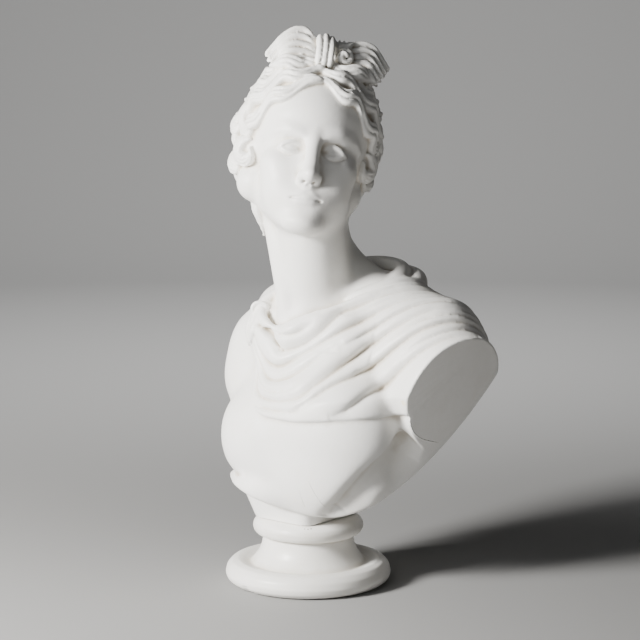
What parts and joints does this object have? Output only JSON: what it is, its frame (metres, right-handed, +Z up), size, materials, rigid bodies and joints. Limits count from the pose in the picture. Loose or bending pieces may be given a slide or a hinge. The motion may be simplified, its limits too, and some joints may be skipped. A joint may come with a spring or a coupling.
{
  "type": "plaster bust",
  "caption": "White plaster bust of a youth in classical style, curled hair tied in a bow, pleated cloak clasped at the shoulder, arms cut off short, on a low round turned socle.",
  "frame": {"origin": "centre of the flat underside of the round socle", "axes": "+Z up through the socle and the bust, the chest facing -Y, the figure's left shoulder towards +X"},
  "size_m": [0.3123, 0.2082, 0.5996],
  "materials": {
    "bust_plaster": "smooth cast plaster with a faint sheen",
    "socle_plaster": "smooth cast plaster, slightly creamier and glossier"
  },
  "bodies": {
    "root": {"bust": "bust_plaster", "socle": "socle_plaster"}
  },
  "joints": []
}
